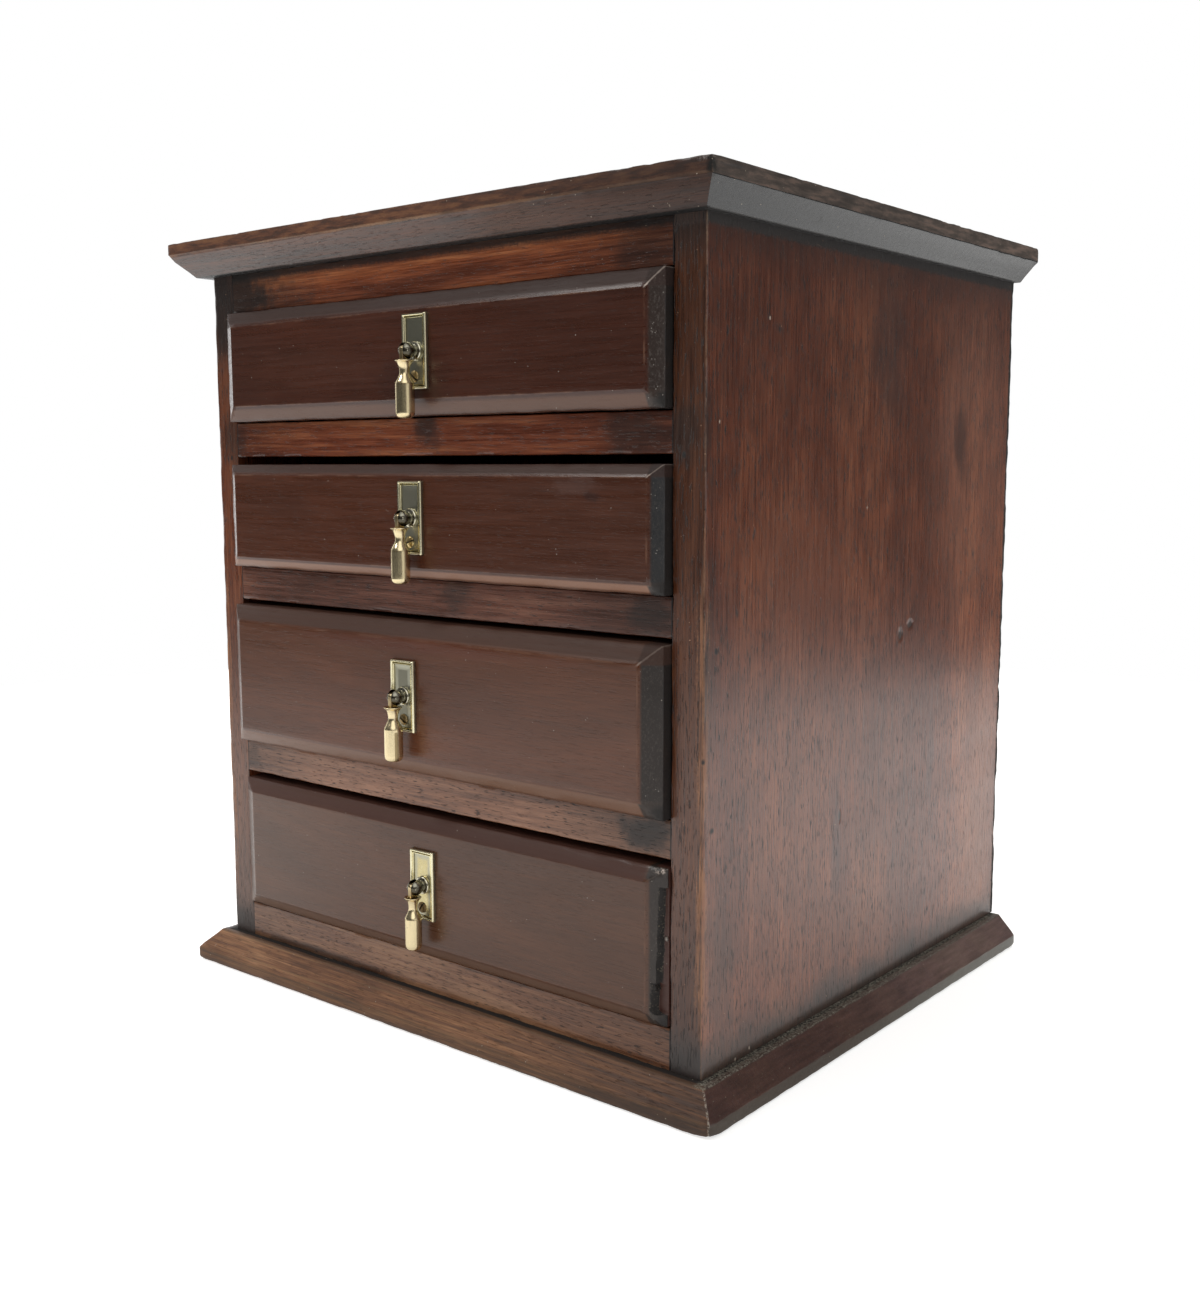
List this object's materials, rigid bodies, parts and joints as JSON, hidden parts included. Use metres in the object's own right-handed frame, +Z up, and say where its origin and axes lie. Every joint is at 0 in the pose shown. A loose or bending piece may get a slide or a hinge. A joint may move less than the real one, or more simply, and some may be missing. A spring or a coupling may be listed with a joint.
{
  "type": "parts cabinet",
  "caption": "Table-top hardwood parts cabinet: fielded drawers on brass drop pulls, stacked between a moulded cornice and plinth.",
  "frame": {"origin": "middle of the cabinet's footprint, on the surface the plinth stands on", "axes": "+X to the right across the front, +Y from the drawer fronts to the back, +Z up"},
  "size_m": [0.3458, 0.3122, 0.3849],
  "materials": {
    "carcase_hardwood": "old waxed red-brown hardwood, worn at the edges",
    "front_hardwood": "dark satin polish over red-brown hardwood",
    "lining_wood": "bare planed lining timber",
    "back_wood": "bare planed board, darkened with age",
    "bright_brass": "polished by handling",
    "aged_brass": "dull, browned in the hollows"
  },
  "bodies": {
    "carcase": {"back_board": "back_wood", "carcase_bottom": "carcase_hardwood", "carcase_top": "carcase_hardwood", "cornice_board": "carcase_hardwood", "plinth_board": "carcase_hardwood", "rail_1": "carcase_hardwood", "rail_2": "carcase_hardwood", "rail_3": "carcase_hardwood", "runner_1_left": "lining_wood", "runner_1_right": "lining_wood", "runner_2_left": "lining_wood", "runner_2_right": "lining_wood", "runner_3_left": "lining_wood", "runner_3_right": "lining_wood", "side_left": "carcase_hardwood", "side_right": "carcase_hardwood"},
    "drawer_1": {"drawer1_back": "lining_wood", "drawer1_bottom": "lining_wood", "drawer1_front": "front_hardwood", "drawer1_side_left": "lining_wood", "drawer1_side_right": "lining_wood", "handle1_boss": "aged_brass", "handle1_nut": "aged_brass", "handle1_pin": "aged_brass", "handle1_plate": "aged_brass"},
    "pull_1": {"handle1_pull": "bright_brass"},
    "drawer_2": {"drawer2_back": "lining_wood", "drawer2_bottom": "lining_wood", "drawer2_front": "front_hardwood", "drawer2_side_left": "lining_wood", "drawer2_side_right": "lining_wood", "handle2_boss": "aged_brass", "handle2_nut": "aged_brass", "handle2_pin": "aged_brass", "handle2_plate": "aged_brass"},
    "pull_2": {"handle2_pull": "bright_brass"},
    "drawer_3": {"drawer3_back": "lining_wood", "drawer3_bottom": "lining_wood", "drawer3_front": "front_hardwood", "drawer3_side_left": "lining_wood", "drawer3_side_right": "lining_wood", "handle3_boss": "aged_brass", "handle3_nut": "aged_brass", "handle3_pin": "aged_brass", "handle3_plate": "aged_brass"},
    "pull_3": {"handle3_pull": "bright_brass"},
    "drawer_4": {"drawer4_back": "lining_wood", "drawer4_bottom": "lining_wood", "drawer4_front": "front_hardwood", "drawer4_side_left": "lining_wood", "drawer4_side_right": "lining_wood", "handle4_boss": "aged_brass", "handle4_nut": "aged_brass", "handle4_pin": "aged_brass", "handle4_plate": "aged_brass"},
    "pull_4": {"handle4_pull": "bright_brass"}
  },
  "joints": [
    {"name": "drawer_1_slide", "type": "slide", "parent": "carcase", "child": "drawer_1", "axis": [0, -1, 0], "range_m": [0, 0.215]},
    {"name": "pull_1_swing", "type": "hinge", "parent": "drawer_1", "child": "pull_1", "pos_m": [0.0036, -0.1535, 0.32205], "axis": [-1, 0, 0], "range_deg": [-3, 183]},
    {"name": "drawer_2_slide", "type": "slide", "parent": "carcase", "child": "drawer_2", "axis": [0, -1, 0], "range_m": [0, 0.215]},
    {"name": "pull_2_swing", "type": "hinge", "parent": "drawer_2", "child": "pull_2", "pos_m": [-0.0017, -0.1533, 0.247], "axis": [-1, 0, 0], "range_deg": [-3, 183]},
    {"name": "drawer_3_slide", "type": "slide", "parent": "carcase", "child": "drawer_3", "axis": [0, -1, 0], "range_m": [0, 0.215]},
    {"name": "pull_3_swing", "type": "hinge", "parent": "drawer_3", "child": "pull_3", "pos_m": [-0.0063, -0.1557, 0.1638], "axis": [-1, 0, 0], "range_deg": [-3, 183]},
    {"name": "drawer_4_slide", "type": "slide", "parent": "carcase", "child": "drawer_4", "axis": [0, -1, 0], "range_m": [0, 0.215]},
    {"name": "pull_4_swing", "type": "hinge", "parent": "drawer_4", "child": "pull_4", "pos_m": [-0.0007, -0.1507, 0.07235], "axis": [-1, 0, 0], "range_deg": [-3, 183]}
  ]
}
